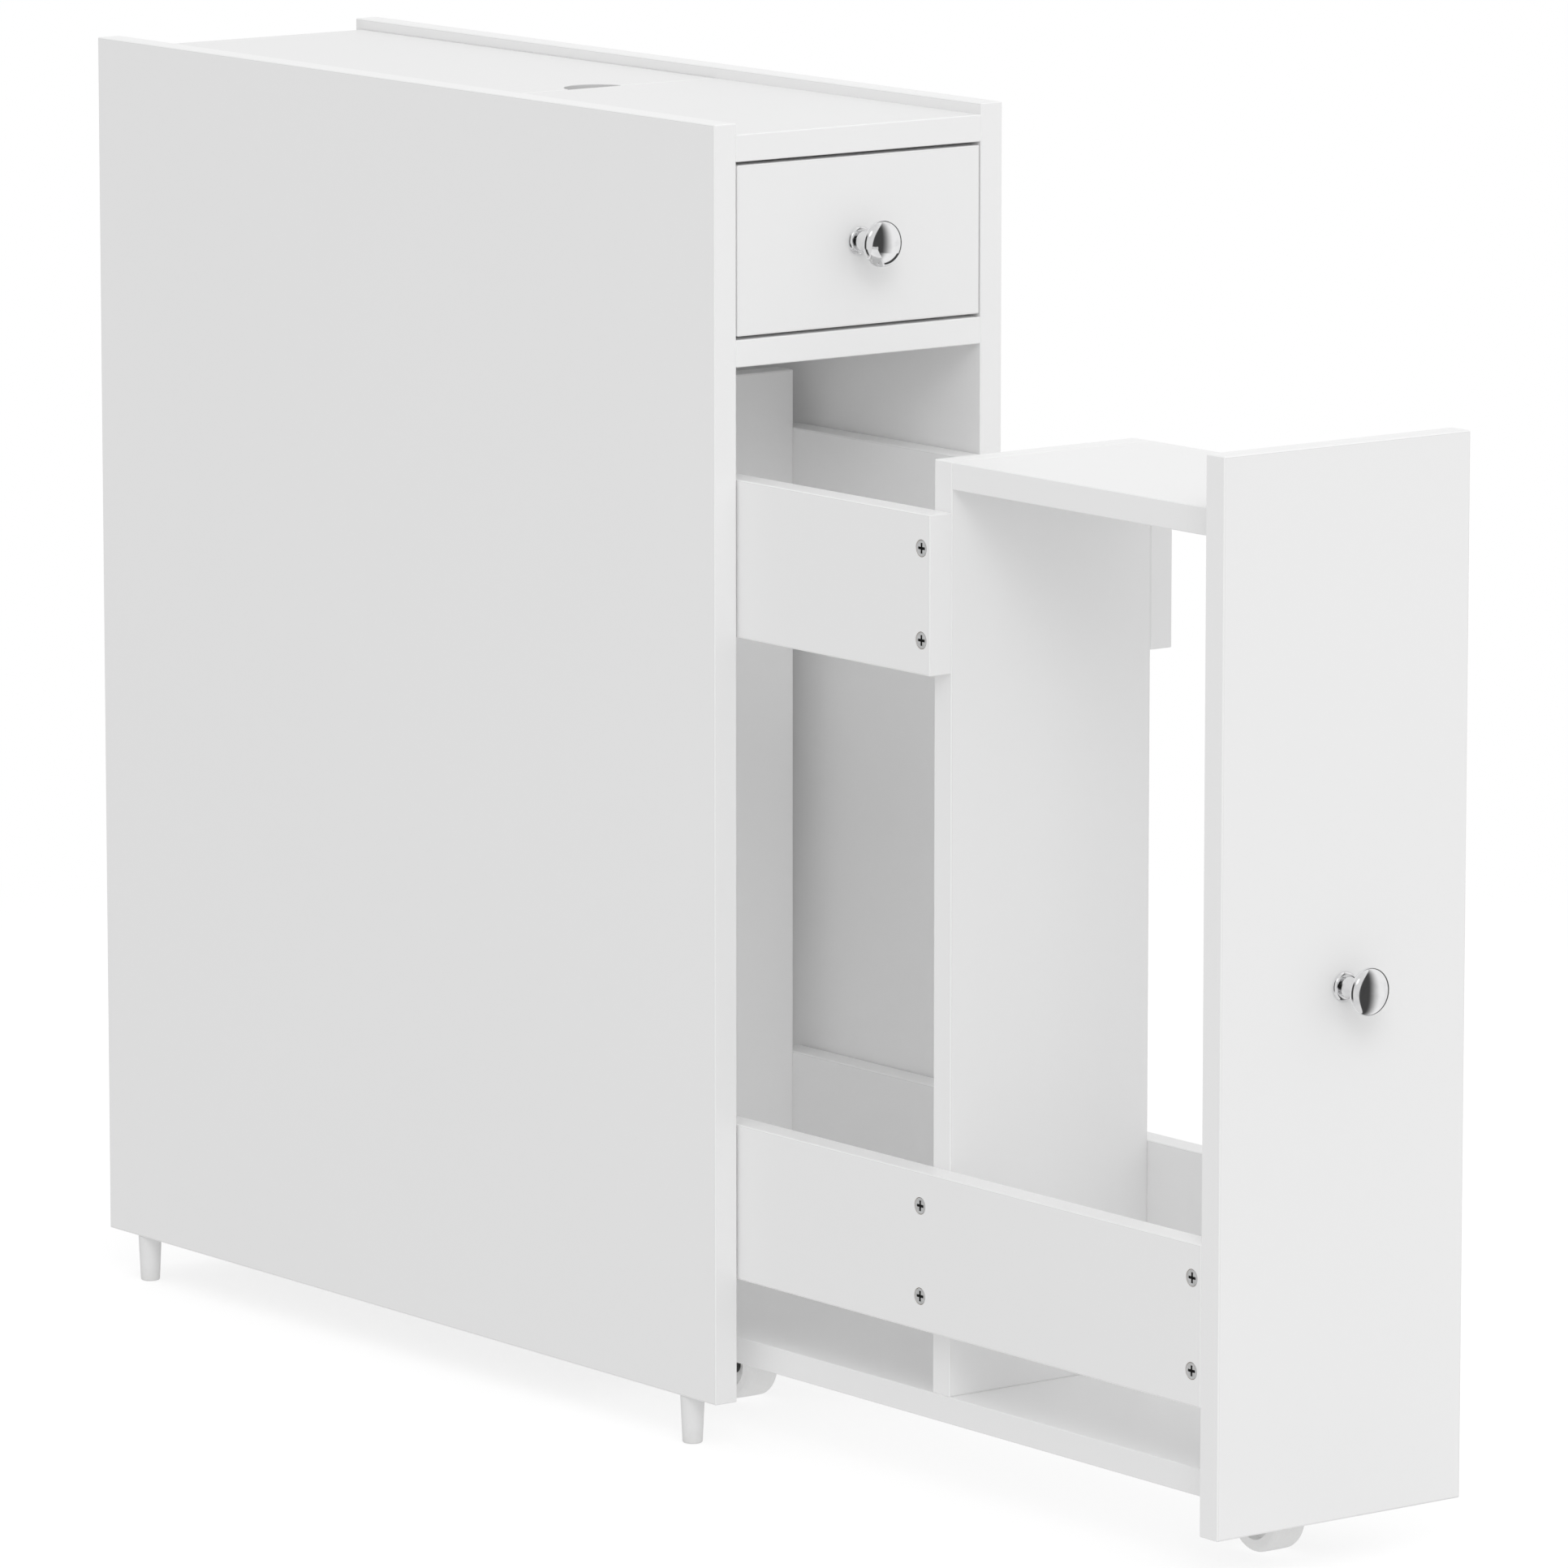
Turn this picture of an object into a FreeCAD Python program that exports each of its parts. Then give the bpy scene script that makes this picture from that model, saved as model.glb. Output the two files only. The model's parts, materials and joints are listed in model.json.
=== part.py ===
import FreeCAD, Part
import os

# Narrow bathroom cabinet: a case of white boards with a drawer, a lid over a rear
# compartment, and a tall pull-out rack that rolls on two casters.
# Millimetres. The floor is z = 0, the front faces -Y and x = 0 is the middle plane.
# The rack stands drawn out, as in use; the drawer and the lid are closed.

# Boards
board = 12.0                  # thickness of every board
edge_break = 0.4              # chamfer along the board edges
fit_gap = 0.05                # radial room round pins, dowels, bolts and screws
seat_gap = 0.3                # room between pieces that slide or lift off

# Case
case_width = 160.0
case_depth = 480.0
side_height = 570.0
foot_height = 22.0
foot_diameter = 11.0
foot_tip_diameter = 9.0
foot_stem_diameter = 6.0
foot_stem_length = 10.0
foot_inset = 25.0             # foot centre from the front and back edges
top_drop = 5.0                # top board below the upper edges of the sides

# Top board and lid
fixed_top_depth = 195.5
lid_seam = 0.4
lid_side_gap = 0.5
lid_ledge = 3.0               # width of the partition's edge that carries the lid
notch_radius = 15.0
notch_lead = 1.5              # centre of the finger notch ahead of the lid's front edge
pivot_diameter = 5.0
pivot_in_lid = 10.0
pivot_in_side = 8.0

# Drawer
drawer_front_height = 75.0
drawer_gap = 1.6              # above and below the drawer front
front_side_gap = 0.8          # beside the drawer front and the rack front
drawer_back_gap = 4.5         # behind the closed drawer
drawer_side_drop = 15.0       # drawer sides lower than the drawer front
hardboard = 3.0
groove_depth = 5.0
groove_rise = 6.0
groove_room = 0.2

# Pull-out rack
rack_drawn = 333.0            # how far the rack stands out
rack_top_gap = 2.5            # rack front below the middle shelf
rack_back_gap = 3.0           # behind the closed rack
front_bay_depth = 185.0
divider_drop = 25.0           # divider and rack shelf below the top of the rack front
rear_drop = 20.5              # rear panel below the top of the rack front
rail_height = 70.0
upper_rail_drop = 47.0        # upper rails below the top of the rack front
lower_rail_lift = 30.5        # lower rails above the rack base
crosspiece_margin = 4.0       # front crosspiece inside the rail edges

# Casters
wheel_diameter = 32.0
wheel_width = 17.0
wheel_shoulder = 2.5
wheel_recess_diameter = 20.6
wheel_web = 7.0
hub_diameter = 7.6
hub_width = 9.4
axle_diameter = 4.0
rivet_head_diameter = 6.4
rivet_head_height = 1.2
bracket_sheet = 1.5
bracket_length = 44.0
bracket_corner = 3.0
bracket_bend = 1.8            # outer bend radius beside the plate
bracket_leg_top_width = 16.0
bracket_leg_end_radius = 4.5
bracket_leg_gap = 0.8         # between the leg and the wheel's end
joggle_top = 9.0              # upper and lower bends of the leg above the axle
joggle_bottom = 5.0
wheel_top_gap = 1.5
caster_inset = 35.0           # axle from the rack front and from the rear panel
caster_screw_spacing = 34.0
caster_screw_diameter = 3.0
caster_screw_length = 10.5
caster_screw_head_diameter = 5.8
caster_screw_head_height = 1.6
caster_screw_crown_diameter = 4.06

# Knobs
knob_reach = 20.5
knob_head_diameter = 21.0
knob_flange_diameter = 12.8
knob_neck_diameter = 7.2
knob_flange_edge = 0.8
knob_neck_at = 7.5            # narrowest place, out from the board
knob_rim_at = 16.4            # widest place, out from the board
knob_rim = 1.1                # half thickness of the rim
knob_foot_flare = 0.3         # share of the foot's widening that lies beyond the curve's middle
knob_foot_flare_at = 0.4      # share of the foot's length where that middle lies
knob_head_flare = 0.25        # the same two shares under the head
knob_head_flare_at = 0.7
knob_screw_diameter = 4.0
knob_screw_in_knob = 10.0
knob_screw_head_diameter = 8.0
knob_screw_head_height = 2.4

# Countersunk wood screws
screw_diameter = 3.8
screw_head_diameter = 7.6
screw_head_depth = 2.6
screw_sink = 0.15             # head below the face of the board
screw_length = 34.0
cross_length = 4.6
cross_width = 1.0
cross_depth = 1.2
screw_margin = 15.0           # screw from the edges of a rail or drawer side

# Cam locks, cam bolts and dowels
cam_diameter = 12.0
cam_depth = 9.0
cam_gap = 0.1                 # radial room round a cam lock
cam_setback = 24.0
cam_slot_width = 1.4
cam_slot_depth = 1.6
bolt_thread_diameter = 5.0
bolt_shank_diameter = 4.0
bolt_head_diameter = 6.0
bolt_head_length = 2.5
bolt_grip = 8.0
bolt_hole_diameter = 7.0
dowel_diameter = 6.0
dowel_length = 24.0
dowel_in_panel = 8.0
dowel_chamfer = 0.8
fastener_inset = 45.0         # fasteners from the ends of a case board
fastener_spread = 70.0        # between the two fasteners across the rack
partition_inset = 20.0        # dowels from the partition's edges
drawer_cam_rise = 20.0        # cam bolt above the drawer side's lower edge

V = FreeCAD.Vector
x_axis = V(1, 0, 0)
y_axis = V(0, 1, 0)
z_axis = V(0, 0, 1)

# Levels and faces that several pieces share
half_width = case_width / 2
inner_half = half_width - board
front_half = inner_half - front_side_gap
bay_half = front_half - board
side_top = foot_height + side_height
top_face = side_top - top_drop
top_under = top_face - board
shelf_top = top_under - drawer_front_height - 2 * drawer_gap
shelf_under = shelf_top - board
back_front = case_depth - board
partition_back = fixed_top_depth + lid_ledge
partition_front = partition_back - board

drawer_back = partition_front - drawer_back_gap
drawer_front_bottom = shelf_top + drawer_gap
drawer_bottom = shelf_top + seat_gap
drawer_side_top = drawer_front_bottom + drawer_front_height - drawer_side_drop

axle_height = wheel_diameter / 2
plate_under = wheel_diameter + wheel_top_gap
base_under = plate_under + bracket_sheet
base_top = base_under + board
rack_top = shelf_under - rack_top_gap
rack_depth = back_front - rack_back_gap
divider_front = board + front_bay_depth
divider_back = divider_front + board
rear_front = rack_depth - board
divider_top = rack_top - divider_drop
rear_top = rack_top - rear_drop
upper_rail_bottom = rack_top - upper_rail_drop - rail_height
lower_rail_bottom = base_top + lower_rail_lift

# The part's origin lies under the middle of its box, with the rack drawn out
middle_y = (case_depth - rack_drawn - knob_reach) / 2

nodes = {}
holes = {}


def block(x0, x1, y0, y1, z0, z1):
    return Part.makeBox(x1 - x0, y1 - y0, z1 - z0, V(x0, y0, z0))


def add_board(name, x0, x1, y0, y1, z0, z1):
    shape = block(x0, x1, y0, y1, z0, z1)
    nodes[name] = shape.makeChamfer(edge_break, shape.Edges)


def bore(name, cutter):
    holes.setdefault(name, []).append(cutter)


def rod(start, direction, length, diameter):
    return Part.makeCylinder(diameter / 2, length, start, direction)


def turned(profile, start, direction):
    """Revolves (radius, distance) points about an axis. A pair of points is an arc by its middle."""
    edges = []
    here = profile[0]
    for step in profile[1:]:
        if isinstance(step[0], tuple):
            through, there = step
            edges.append(Part.Arc(flat(here), flat(through), flat(there)).toShape())
        else:
            there = step
            edges.append(Part.LineSegment(flat(here), flat(there)).toShape())
        here = there
    if here != profile[0]:
        edges.append(Part.LineSegment(flat(here), flat(profile[0])).toShape())
    face = Part.Face(Part.Wire(edges))
    solid = face.revolve(V(0, 0, 0), z_axis, 360)
    solid.Placement = FreeCAD.Placement(start, FreeCAD.Rotation(z_axis, direction))
    return solid


def flat(point):
    return V(point[0], 0, point[1])


def dome_middle(radius, rise):
    """Point half-way out on a round cap of this radius, and its height above the cap's edge."""
    sphere = (radius ** 2 + rise ** 2) / (2 * rise)
    return radius / 2, rise - sphere + (sphere ** 2 - radius ** 2 / 4) ** 0.5


def group(name, solids):
    nodes[name] = Part.makeCompound(solids)


def screw(start, direction):
    """Countersunk wood screw with a cross recess, its head at start and its tip along direction."""
    tip = screw_diameter / 2
    shape = turned([
        (0, 0),
        (screw_head_diameter / 2, 0),
        (tip, screw_head_depth),
        (tip, screw_length - screw_diameter),
        (0, screw_length),
    ], V(0, 0, 0), z_axis)
    for across, along in ((cross_length, cross_width), (cross_width, cross_length)):
        shape = shape.cut(block(-across / 2, across / 2, -along / 2, along / 2, 0, cross_depth))
    head = start + direction * screw_sink
    shape.Placement = FreeCAD.Placement(head, FreeCAD.Rotation(z_axis, direction))
    return shape


def screw_hole(start, direction):
    """Clears one screw from the face of the board to past its tip."""
    tip = screw_diameter / 2 + fit_gap
    head = screw_head_diameter / 2 + fit_gap
    deep = screw_sink + screw_length + fit_gap
    return turned([
        (0, 0),
        (head, 0),
        (head, screw_sink),
        (tip, screw_sink + screw_head_depth),
        (tip, deep - screw_diameter),
        (0, deep),
    ], start, direction)


def drive_screw(solids, start, direction, *boards):
    solids.append(screw(start, direction))
    for name in boards:
        bore(name, screw_hole(start, direction))


def cam_joint(bolts, cams, panel, joined, seat, into, face):
    """Bolt screwed into panel at seat, running along into, locked by a cam let into the joined board."""
    thread = bolt_thread_diameter / 2
    shank = bolt_shank_diameter / 2
    head = bolt_head_diameter / 2
    reach = bolt_grip + cam_setback
    bolts.append(turned([
        (0, 0),
        (thread, 0),
        (thread, bolt_grip),
        (shank, bolt_grip),
        (shank, reach - bolt_head_length),
        (head, reach - bolt_head_length),
        (head, reach),
        (0, reach),
    ], seat - into * bolt_grip, into))
    thread_depth = bolt_grip + fit_gap
    bore(panel, rod(seat - into * thread_depth, into, thread_depth, bolt_thread_diameter + 2 * fit_gap))
    mouth = seat + into * cam_setback + face * (board / 2)
    cam = rod(mouth - face * cam_depth, face, cam_depth - seat_gap, cam_diameter - 2 * cam_gap)
    cam = cam.cut(rod(seat, into, cam_setback + fit_gap, bolt_hole_diameter))
    slot = block(-cam_diameter, cam_diameter, -cam_slot_width / 2, cam_slot_width / 2, -cam_slot_depth, 0)
    slot.Placement = FreeCAD.Placement(mouth - face * seat_gap, FreeCAD.Rotation(z_axis, face))
    cams.append(cam.cut(slot))
    bore(joined, rod(mouth - face * (cam_depth + fit_gap), face, cam_depth + fit_gap, cam_diameter))
    bore(joined, rod(seat, into, cam_setback, bolt_hole_diameter))


def dowel_joint(dowels, panel, joined, seat, into):
    """Wooden dowel let into panel and into the joined board, which lies along into."""
    radius = dowel_diameter / 2
    start = seat - into * dowel_in_panel
    dowels.append(turned([
        (0, 0),
        (radius - dowel_chamfer, 0),
        (radius, dowel_chamfer),
        (radius, dowel_length - dowel_chamfer),
        (radius - dowel_chamfer, dowel_length),
        (0, dowel_length),
    ], start, into))
    cutter = rod(start - into * fit_gap, into, dowel_length + 2 * fit_gap, dowel_diameter + 2 * fit_gap)
    bore(panel, cutter)
    bore(joined, cutter)


def case_boards():
    for name, low, high in (("left_side_panel", -half_width, -inner_half),
                            ("right_side_panel", inner_half, half_width)):
        add_board(name, low, high, 0, case_depth, foot_height, side_top)
    add_board("fixed_top_panel", -inner_half, inner_half, 0, fixed_top_depth, top_under, top_face)
    add_board("middle_shelf", -inner_half, inner_half, 0, back_front, shelf_under, shelf_top)
    add_board("compartment_partition", -inner_half, inner_half, partition_front, partition_back,
              shelf_top, top_under - seat_gap)
    add_board("back_panel", -inner_half, inner_half, back_front, case_depth,
              foot_height, top_under - seat_gap)


def case_feet():
    middle = (half_width + inner_half) / 2
    body = foot_diameter / 2
    tip = foot_tip_diameter / 2
    stem = foot_stem_diameter / 2
    for end, y in (("front", foot_inset), ("rear", case_depth - foot_inset)):
        for side, x in (("left", -middle), ("right", middle)):
            nodes[end + "_" + side + "_foot"] = turned([
                (0, 0),
                (tip - edge_break, 0),
                (tip, edge_break),
                (body, foot_height - edge_break),
                (body, foot_height),
                (stem, foot_height),
                (stem, foot_height + foot_stem_length),
                (0, foot_height + foot_stem_length),
            ], V(x, y, 0), z_axis)
            bore(side + "_side_panel", rod(V(x, y, foot_height), z_axis, foot_stem_length + fit_gap,
                                           foot_stem_diameter + 2 * fit_gap))


def case_joinery():
    bolts, cams, dowels = [], [], []
    top_middle = top_face - board / 2
    shelf_middle = shelf_top - board / 2
    back_middle = case_depth - board / 2
    partition_middle = partition_back - board / 2
    back_low = foot_height + fastener_inset
    back_high = top_under - fastener_inset
    shelf_rear = back_front - fastener_inset
    for panel, into in (("left_side_panel", x_axis), ("right_side_panel", -x_axis)):
        x = -inner_half * into.x
        down = -z_axis
        cam_joint(bolts, cams, panel, "fixed_top_panel", V(x, fastener_inset, top_middle), into, down)
        cam_joint(bolts, cams, panel, "middle_shelf", V(x, fastener_inset, shelf_middle), into, down)
        cam_joint(bolts, cams, panel, "middle_shelf", V(x, shelf_rear, shelf_middle), into, down)
        cam_joint(bolts, cams, panel, "back_panel", V(x, back_middle, back_low), into, -y_axis)
        cam_joint(bolts, cams, panel, "back_panel", V(x, back_middle, back_high), into, -y_axis)
        for joined, seat in (
                ("fixed_top_panel", V(x, fixed_top_depth - fastener_inset, top_middle)),
                ("middle_shelf", V(x, (fastener_inset + shelf_rear) / 2, shelf_middle)),
                ("back_panel", V(x, back_middle, (back_low + back_high) / 2)),
                ("compartment_partition", V(x, partition_middle, shelf_top + partition_inset)),
                ("compartment_partition", V(x, partition_middle, top_under - partition_inset))):
            dowel_joint(dowels, panel, joined, seat, into)
    group("case_cam_bolts", bolts)
    group("case_cam_locks", cams)
    group("case_dowels", dowels)


def lid():
    """Lid with a round back edge about its pivots and a half-moon finger notch in its front edge."""
    front = fixed_top_depth + lid_seam
    pivot_y = case_depth - board / 2
    pivot_z = top_face - board / 2
    half = inner_half - lid_side_gap
    low = [V(-half, pivot_y, top_under), V(-half, front, top_under)]
    high = [V(-half, front, top_face), V(-half, pivot_y, top_face)]
    straight = [(low[0], low[1]), (low[1], high[0]), (high[0], high[1])]
    edges = [Part.LineSegment(a, b).toShape() for a, b in straight]
    edges.append(Part.Arc(high[1], V(-half, case_depth, pivot_z), low[0]).toShape())
    shape = Part.Face(Part.Wire(edges)).extrude(V(2 * half, 0, 0))
    front_edges = [e for e in shape.Edges if abs(e.CenterOfMass.y - front) < edge_break]
    shape = shape.makeChamfer(edge_break, front_edges)
    notch_centre = V(0, front - notch_lead, top_under - board)
    nodes["top_lid"] = shape.cut(rod(notch_centre, z_axis, 3 * board, 2 * notch_radius))
    pins = []
    for panel, out in (("left_side_panel", -x_axis), ("right_side_panel", x_axis)):
        face = V(half * out.x, pivot_y, pivot_z)
        start = face - out * pivot_in_lid
        length = pivot_in_lid + lid_side_gap + pivot_in_side
        pins.append(rod(start, out, length, pivot_diameter))
        cutter = rod(start - out * fit_gap, out, length + seat_gap + fit_gap, pivot_diameter + 2 * fit_gap)
        bore("top_lid", cutter)
        bore(panel, cutter)
    group("lid_pivot_pins", pins)


def knob(name, board_name, x, y, z):
    """Turned knob with a flared foot, a waisted neck and a domed head, held by a screw through the board."""
    head = knob_head_diameter / 2
    flange = knob_flange_diameter / 2
    neck = knob_neck_diameter / 2
    under = knob_rim_at - knob_rim
    crown = knob_rim_at + knob_rim
    rim = head - knob_rim
    half_rim, half_rise = dome_middle(rim, knob_reach - crown)
    foot_bend = (neck + knob_foot_flare * (flange - neck),
                 knob_flange_edge + knob_foot_flare_at * (knob_neck_at - knob_flange_edge))
    head_bend = (neck + knob_head_flare * (rim - neck),
                 knob_neck_at + knob_head_flare_at * (under - knob_neck_at))
    shape = turned([
        (0, 0),
        (flange, 0),
        (flange, knob_flange_edge),
        (foot_bend, (neck, knob_neck_at)),
        (head_bend, (rim, under)),
        ((head, knob_rim_at), (rim, crown)),
        ((half_rim, crown + half_rise), (0, knob_reach)),
    ], V(x, y, z), -y_axis)
    shank = knob_screw_diameter + 2 * fit_gap
    reach = board + knob_screw_in_knob
    cutter = rod(V(x, y + board, z), -y_axis, reach + fit_gap, shank)
    nodes[name] = shape.cut(cutter)
    bore(board_name, cutter)
    head_radius = knob_screw_head_diameter / 2
    half_head, half_height = dome_middle(head_radius, knob_screw_head_height)
    nodes[name + "_screw"] = turned([
        (0, -knob_screw_head_height),
        ((half_head, -half_height), (head_radius, 0)),
        (knob_screw_diameter / 2, 0),
        (knob_screw_diameter / 2, reach),
        (0, reach),
    ], V(x, y + board, z), -y_axis)


def drawer():
    box_half = front_half
    inside = bay_half
    back_face = drawer_back - board
    groove_low = drawer_bottom + groove_rise
    groove_high = groove_low + hardboard + groove_room
    into_groove = groove_depth - groove_room
    add_board("drawer_front", -front_half, front_half, 0, board,
              drawer_front_bottom, drawer_front_bottom + drawer_front_height)
    add_board("drawer_left_side", -box_half, -inside, board, drawer_back, drawer_bottom, drawer_side_top)
    add_board("drawer_right_side", inside, box_half, board, drawer_back, drawer_bottom, drawer_side_top)
    add_board("drawer_back", -inside, inside, back_face, drawer_back, drawer_bottom, drawer_side_top)
    nodes["drawer_bottom"] = block(-inside - into_groove, inside + into_groove,
                                   board - into_groove, back_face + into_groove,
                                   groove_low + groove_room / 2, groove_low + groove_room / 2 + hardboard)
    groove = block(-inside - groove_depth, inside + groove_depth,
                   board - groove_depth, back_face + groove_depth, groove_low, groove_high)
    for name in ("drawer_front", "drawer_left_side", "drawer_right_side", "drawer_back"):
        bore(name, groove)
    bolts, cams, dowels, screws = [], [], [], []
    side_middle = inside + board / 2
    back_middle = drawer_back - board / 2
    low = drawer_bottom + drawer_cam_rise
    high = drawer_side_top - screw_margin
    for side, out in (("drawer_left_side", -x_axis), ("drawer_right_side", x_axis)):
        x = side_middle * out.x
        cam_joint(bolts, cams, "drawer_front", side, V(x, board, low), y_axis, -out)
        dowel_joint(dowels, "drawer_front", side, V(x, board, high), y_axis)
        for z in (low, high):
            drive_screw(screws, V(box_half * out.x, back_middle, z), -out, side, "drawer_back")
    group("drawer_cam_bolts", bolts)
    group("drawer_cam_locks", cams)
    group("drawer_dowels", dowels)
    group("drawer_screws", screws)
    knob("drawer_knob", "drawer_front", 0, 0, drawer_front_bottom + drawer_front_height / 2)


def rack_boards():
    add_board("rack_front", -front_half, front_half, 0, board, foot_height, rack_top)
    add_board("rack_base", -bay_half, bay_half, board, rear_front, base_under, base_top)
    add_board("rack_divider", -bay_half, bay_half, divider_front, divider_back, base_top, divider_top)
    add_board("rack_rear_panel", -bay_half, bay_half, rear_front, rack_depth, base_under, rear_top)
    add_board("rack_shelf", -bay_half, bay_half, board, divider_front, divider_top - board, divider_top)
    for side, low, high in (("left", -front_half, -bay_half), ("right", bay_half, front_half)):
        add_board("upper_" + side + "_rail", low, high, divider_front, rack_depth,
                  upper_rail_bottom, upper_rail_bottom + rail_height)
        add_board("lower_" + side + "_rail", low, high, board, rack_depth,
                  lower_rail_bottom, lower_rail_bottom + rail_height)
    add_board("front_crosspiece", -bay_half, bay_half, board, 2 * board,
              lower_rail_bottom + crosspiece_margin, lower_rail_bottom + rail_height - crosspiece_margin)


def rack_joinery():
    screws, bolts, cams, dowels, base_screws = [], [], [], [], []
    posts = {
        "lower": (lower_rail_bottom, (("front_crosspiece", board), ("rack_divider", divider_front),
                                      ("rack_rear_panel", rear_front))),
        "upper": (upper_rail_bottom, (("rack_divider", divider_front), ("rack_rear_panel", rear_front))),
    }
    for side, out in (("left", -x_axis), ("right", x_axis)):
        for level, (bottom, carriers) in posts.items():
            for carrier, face in carriers:
                for z in (bottom + screw_margin, bottom + rail_height - screw_margin):
                    start = V(front_half * out.x, face + board / 2, z)
                    drive_screw(screws, start, -out, level + "_" + side + "_rail", carrier)
    base_middle = base_top - board / 2
    shelf_middle = divider_top - board / 2
    for x in (-fastener_spread / 2, fastener_spread / 2):
        cam_joint(bolts, cams, "rack_front", "rack_base", V(x, board, base_middle), y_axis, -z_axis)
        cam_joint(bolts, cams, "rack_front", "rack_shelf", V(x, board, shelf_middle), y_axis, -z_axis)
        dowel_joint(dowels, "rack_divider", "rack_shelf", V(x, divider_front, shelf_middle), -y_axis)
        drive_screw(base_screws, V(x, divider_front + board / 2, base_under), z_axis,
                    "rack_base", "rack_divider")
        drive_screw(base_screws, V(x, rack_depth, base_middle), -y_axis, "rack_rear_panel", "rack_base")
    group("rail_screws", screws)
    group("rack_cam_bolts", bolts)
    group("rack_cam_locks", cams)
    group("rack_dowels", dowels)
    group("rack_base_screws", base_screws)


def offset_path(points, distance):
    """Mitred copy of an open path, on its right-hand side."""
    moved = []
    last = len(points) - 1
    for i, point in enumerate(points):
        before = (point - points[max(i - 1, 0)]) if i > 0 else (points[1] - point)
        after = (points[i + 1] - point) if i < last else before
        before.normalize()
        after.normalize()
        side_a = V(before.z, 0, -before.x)
        side_b = V(after.z, 0, -after.x)
        mitre = side_a + side_b
        moved.append(point + mitre * (distance / (0.5 * mitre.dot(mitre))))
    return moved


def caster_bracket(y):
    """Bent sheet fork: a plate with two legs that step inwards to the hub and end round the axle."""
    outer = wheel_width / 2 + bracket_leg_gap
    inner = hub_width / 2 + seat_gap
    tip = axle_height - bracket_leg_end_radius
    half = [V(outer, 0, plate_under), V(outer, 0, axle_height + joggle_top),
            V(inner, 0, axle_height + joggle_bottom), V(inner, 0, tip)]
    path = half[::-1] + [V(-p.x, p.y, p.z) for p in half]
    skin = path + offset_path(path, bracket_sheet)[::-1]
    section = Part.Face(Part.makePolygon(skin + skin[:1]))
    fold = section.extrude(V(0, bracket_length, 0))
    corner = outer + bracket_sheet
    crest = [e for e in fold.Edges if abs(e.CenterOfMass.z - base_under) < fit_gap]
    bends = [e for e in crest if abs(abs(e.CenterOfMass.x) - corner) < fit_gap]
    fold = fold.makeFillet(bracket_bend, bends)
    fold.translate(V(0, y - bracket_length / 2, 0))
    plate = block(-corner, corner, y - bracket_length / 2, y + bracket_length / 2, plate_under, base_under)
    upright = [e for e in plate.Edges if abs(e.BoundBox.ZLength - bracket_sheet) < fit_gap]
    plate = plate.makeFillet(bracket_corner, upright)
    top = bracket_leg_top_width / 2
    end = bracket_leg_end_radius
    near_end, far_end = (V(-corner, place, axle_height) for place in (y - end, y + end))
    near_top, far_top = (V(-corner, place, base_under) for place in (y - top, y + top))
    leg = Part.Face(Part.Wire([
        Part.LineSegment(near_end, near_top).toShape(),
        Part.LineSegment(near_top, far_top).toShape(),
        Part.LineSegment(far_top, far_end).toShape(),
        Part.Arc(far_end, V(-corner, y, tip), near_end).toShape(),
    ])).extrude(V(2 * corner, 0, 0))
    shape = fold.common(plate.fuse(leg)).removeSplitter()
    return shape.cut(rod(V(-corner, y, axle_height), x_axis, 2 * corner, axle_diameter + 2 * fit_gap))


def caster_wheel(y):
    """Wide wheel with rounded shoulders, a deep recess in each end and a hub round the axle."""
    radius = wheel_diameter / 2
    edge = wheel_width / 2
    recess = wheel_recess_diameter / 2
    hub = hub_diameter / 2
    web = wheel_web / 2
    bore_radius = axle_diameter / 2 + fit_gap
    soft = wheel_shoulder * (1 - 0.5 ** 0.5)
    return turned([
        (bore_radius, -hub_width / 2),
        (hub, -hub_width / 2),
        (hub, -web),
        (recess, -web),
        (recess, -edge),
        (radius - wheel_shoulder, -edge),
        ((radius - soft, soft - edge), (radius, wheel_shoulder - edge)),
        (radius, edge - wheel_shoulder),
        ((radius - soft, edge - soft), (radius - wheel_shoulder, edge)),
        (recess, edge),
        (recess, web),
        (hub, web),
        (hub, hub_width / 2),
        (bore_radius, hub_width / 2),
    ], V(0, y, axle_height), x_axis)


def caster_axle(y):
    """Rivet through both legs, with a domed head at each end."""
    shank = axle_diameter / 2
    head = rivet_head_diameter / 2
    end = hub_width / 2 + seat_gap + bracket_sheet
    tip = end + rivet_head_height
    half_head, half_height = dome_middle(head, rivet_head_height)
    return turned([
        (0, -tip),
        ((half_head, -end - half_height), (head, -end)),
        (shank, -end),
        (shank, end),
        (head, end),
        ((half_head, end + half_height), (0, tip)),
    ], V(0, y, axle_height), x_axis)


def casters():
    screws = []
    shank = caster_screw_diameter / 2
    head = caster_screw_head_diameter / 2
    crown = caster_screw_crown_diameter / 2
    places = (("front", board + caster_inset), ("rear", rear_front - caster_inset))
    for end, y in places:
        bracket = caster_bracket(y)
        for y_screw in (y - caster_screw_spacing / 2, y + caster_screw_spacing / 2):
            start = V(0, y_screw, plate_under)
            screws.append(turned([
                (0, -caster_screw_head_height),
                (crown, -caster_screw_head_height),
                (head, 0),
                (shank, 0),
                (shank, caster_screw_length - shank),
                (0, caster_screw_length),
            ], start, z_axis))
            cutter = rod(start, z_axis, caster_screw_length + fit_gap, caster_screw_diameter + 2 * fit_gap)
            bracket = bracket.cut(cutter)
            bore("rack_base", cutter)
        nodes[end + "_caster_bracket"] = bracket
        nodes[end + "_caster_axle"] = caster_axle(y)
        nodes[end + "_caster_wheel"] = caster_wheel(y)
    group("caster_screws", screws)


def rack():
    rack_boards()
    rack_joinery()
    casters()
    knob("rack_knob", "rack_front", 0, 0, (foot_height + rack_top) / 2)


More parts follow.
